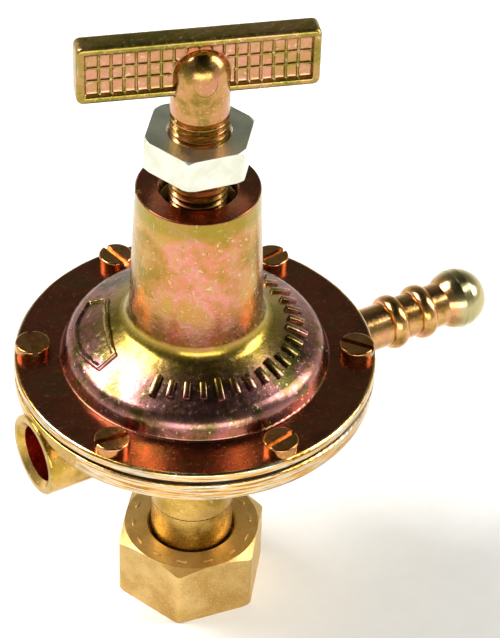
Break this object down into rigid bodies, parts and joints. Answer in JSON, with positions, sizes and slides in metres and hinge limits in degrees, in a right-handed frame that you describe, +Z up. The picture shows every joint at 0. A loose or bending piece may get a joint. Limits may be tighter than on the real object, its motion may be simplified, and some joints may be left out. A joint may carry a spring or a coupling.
{
  "type": "gas pressure regulator",
  "caption": "Adjustable high-pressure gas regulator: flanged diaphragm body, tapered spring tower, tee handle with lock nut, swivel union nut, hose barb and side port.",
  "frame": {"origin": "on the vertical axis, at the underside of the inlet gasket, where the thread of the union nut ends", "axes": "+Z up the spring tower towards the tee handle, +X along the hose barb, away from the body; the gauge port faces -X"},
  "size_m": [0.0932, 0.0642, 0.1231],
  "materials": {
    "chromated_casting": "zinc die casting, yellow chromate with iridescent mottling",
    "chromated_steel": "turned steel, yellow chromate",
    "plated_steel": "bright zinc plate",
    "forged_brass": "hot-forged brass, fine matte skin",
    "turned_brass": "turned brass",
    "stainless": "bare stainless steel",
    "spring_steel": "oiled spring wire",
    "rubber": "moulded black rubber"
  },
  "bodies": {
    "body": {"lower_body": "chromated_casting", "bonnet": "chromated_casting", "cover_screw_1": "chromated_steel", "cover_screw_2": "chromated_steel", "cover_screw_3": "chromated_steel", "cover_screw_4": "chromated_steel", "cover_screw_5": "chromated_steel", "cover_screw_6": "chromated_steel", "inlet_nipple": "turned_brass", "nipple_o_ring": "rubber", "inlet_filter": "stainless", "inlet_gasket": "rubber", "hose_barb": "chromated_steel", "valve_seat": "turned_brass", "diaphragm": "rubber", "range_spring": "spring_steel", "poppet_spring": "spring_steel"},
    "union_nut": {"union_nut": "forged_brass"},
    "spring_cap": {"spring_cap": "plated_steel"},
    "handle": {"adjusting_screw": "chromated_steel", "tee_bar": "chromated_casting", "handle_rivet": "chromated_steel"},
    "lock_nut": {"lock_nut": "plated_steel"},
    "diaphragm_stack": {"spring_plate": "plated_steel", "backing_plate": "plated_steel", "centre_bolt": "plated_steel", "centre_nut": "plated_steel"},
    "valve": {"poppet": "turned_brass", "valve_pad": "rubber", "valve_pin": "stainless"}
  },
  "joints": [
    {"name": "cap_slide", "type": "slide", "parent": "body", "child": "spring_cap", "axis": [0, 0, 1], "range_m": [-0.00531, 0.00215], "deforming": ["range_spring"]},
    {"name": "handle_turn", "type": "hinge", "parent": "spring_cap", "child": "handle", "pos_m": [0, 0, 0.0851], "axis": [0, 0, 1], "range_deg": [-1530, 620]},
    {"name": "lock_nut_travel", "type": "slide", "parent": "body", "child": "lock_nut", "axis": [0, 0, 1], "range_m": [-0.00575, 0]},
    {"name": "diaphragm_stroke", "type": "slide", "parent": "body", "child": "diaphragm_stack", "axis": [0, 0, 1], "range_m": [-0.0012, 0], "stiffness_N_per_m": 1000, "springref_m": 0.003, "deforming": ["diaphragm"]},
    {"name": "poppet_lift", "type": "slide", "parent": "body", "child": "valve", "axis": [0, 0, 1], "range_m": [-0.00121, 0], "deforming": ["poppet_spring"]},
    {"name": "union_nut_turn", "type": "hinge", "parent": "body", "child": "union_nut", "pos_m": [0, 0, 0], "axis": [0, 0, 1], "continuous": true}
  ],
  "couplings": [
    {"joint": "handle_turn", "follows": "cap_slide", "rad_per_m": 5026.5},
    {"joint": "poppet_lift", "follows": "diaphragm_stroke", "ratio": 1}
  ]
}
